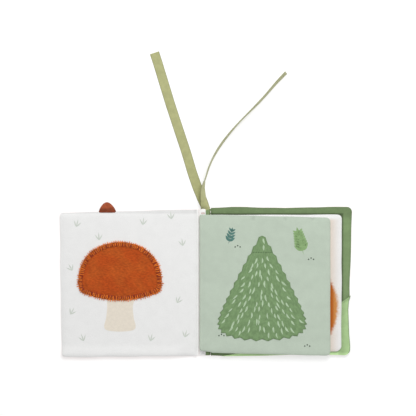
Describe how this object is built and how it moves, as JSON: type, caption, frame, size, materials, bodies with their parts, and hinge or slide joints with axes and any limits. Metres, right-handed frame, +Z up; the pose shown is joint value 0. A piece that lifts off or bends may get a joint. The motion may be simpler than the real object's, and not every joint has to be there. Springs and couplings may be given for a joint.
{
  "type": "cloth activity book",
  "caption": "Soft cloth book lying open, with padded covers, two leaves, a lift-up flap, a slip pocket, a fleece patch and ribbon ties.",
  "frame": {"origin": "middle of the spine strip, on the surface that the open book rests on", "axes": "+X runs from the spine to the fore edge of the back cover, +Y to the head of the pages, where the ribbon ties leave, +Z up out of the open pages"},
  "size_m": [0.3057, 0.3215, 0.01],
  "materials": {
    "cover_cloth": "brushed cotton, rust pink",
    "lining_white": "off-white cotton, fine plain weave",
    "lining_green": "mid green cotton, fine plain weave",
    "pocket_green": "light green cotton, fine plain weave",
    "leaf_sage": "pale sage cotton with small printed leaves",
    "leaf_white": "off-white cotton, fine plain weave",
    "flap_green": "printed green cotton with pale strokes",
    "fleece_rust": "short-pile rust fleece",
    "tab_rust": "rust cotton tab",
    "ribbon_olive": "olive grosgrain ribbon, fine cross ribs",
    "thread_white": "white sewing thread",
    "thread_rust": "dark rust sewing thread",
    "thread_green": "green sewing thread",
    "wadding": "polyester wadding, sealed inside",
    "crinkle_film": "thin crackling film, sealed inside"
  },
  "bodies": {
    "back_cover": {"back_cover_outer": "cover_cloth", "back_cover_wadding": "wadding", "back_cover_lining": "lining_green", "hill_pocket": "pocket_green", "pocket_hem": "pocket_green", "spine_stitching_right": "thread_white", "leaf_1_fold": "leaf_sage", "leaf_2_fold": "leaf_white"},
    "spine": {"spine_outer": "cover_cloth", "spine_interfacing": "wadding", "spine_lining_left": "lining_white", "spine_lining_right": "lining_green", "spread_stitching": "thread_white", "ribbon_root": "ribbon_olive"},
    "front_cover": {"front_cover_outer": "cover_cloth", "front_cover_wadding": "wadding", "front_cover_lining": "lining_white", "fleece_patch": "fleece_rust", "fleece_stitching": "thread_rust", "spine_stitching_left": "thread_white"},
    "tab": {"rust_tab": "tab_rust"},
    "leaf_1": {"leaf_1_back_fabric": "leaf_white", "leaf_1_crinkle_film": "crinkle_film", "leaf_1_front_fabric": "leaf_sage", "flap_sewn_tip": "flap_green", "flap_stitching": "thread_green"},
    "flap": {"flap_back": "leaf_white", "flap_front": "flap_green"},
    "leaf_2": {"leaf_2_back_fabric": "leaf_white", "leaf_2_crinkle_film": "crinkle_film", "leaf_2_front_fabric": "leaf_white"},
    "ties": {"ribbon_left_tail": "ribbon_olive", "ribbon_right_tail": "ribbon_olive"}
  },
  "joints": [
    {"name": "spine_fold", "type": "hinge", "parent": "back_cover", "child": "spine", "pos_m": [0.0046, 0, 0.0008], "axis": [0, -1, 0], "range_deg": [-90, 0], "deforming": ["leaf_1_fold", "leaf_2_fold"]},
    {"name": "book_close", "type": "hinge", "parent": "spine", "child": "front_cover", "pos_m": [-0.0081, 0, 0.0008], "axis": [0, -1, 0], "range_deg": [-90, 0]},
    {"name": "leaf_1_turn", "type": "hinge", "parent": "back_cover", "child": "leaf_1", "pos_m": [0, 0, 0.0071], "axis": [0, -1, 0], "range_deg": [0, 180], "deforming": ["leaf_1_fold", "leaf_2_fold"]},
    {"name": "leaf_2_follow", "type": "hinge", "parent": "back_cover", "child": "leaf_2", "pos_m": [0, 0, 0.0071], "axis": [0, -1, 0], "range_deg": [0, 90]},
    {"name": "flap_lift", "type": "hinge", "parent": "leaf_1", "child": "flap", "pos_m": [0.0592, 0.0306, 0.0089], "axis": [1, 0, 0], "range_deg": [-180, 0]},
    {"name": "tab_bend", "type": "hinge", "parent": "front_cover", "child": "tab", "pos_m": [-0.1032, 0.0747, 0.0015], "axis": [1, 0, 0], "range_deg": [0, 90]},
    {"name": "ties_lift", "type": "hinge", "parent": "back_cover", "child": "ties", "pos_m": [-0.0007, 0.0856, 0.0005], "axis": [1, 0, 0], "range_deg": [0, 60]}
  ],
  "couplings": [
    {"joint": "spine_fold", "follows": "book_close", "ratio": 1},
    {"joint": "leaf_2_follow", "follows": "leaf_1_turn", "ratio": 0.5}
  ]
}
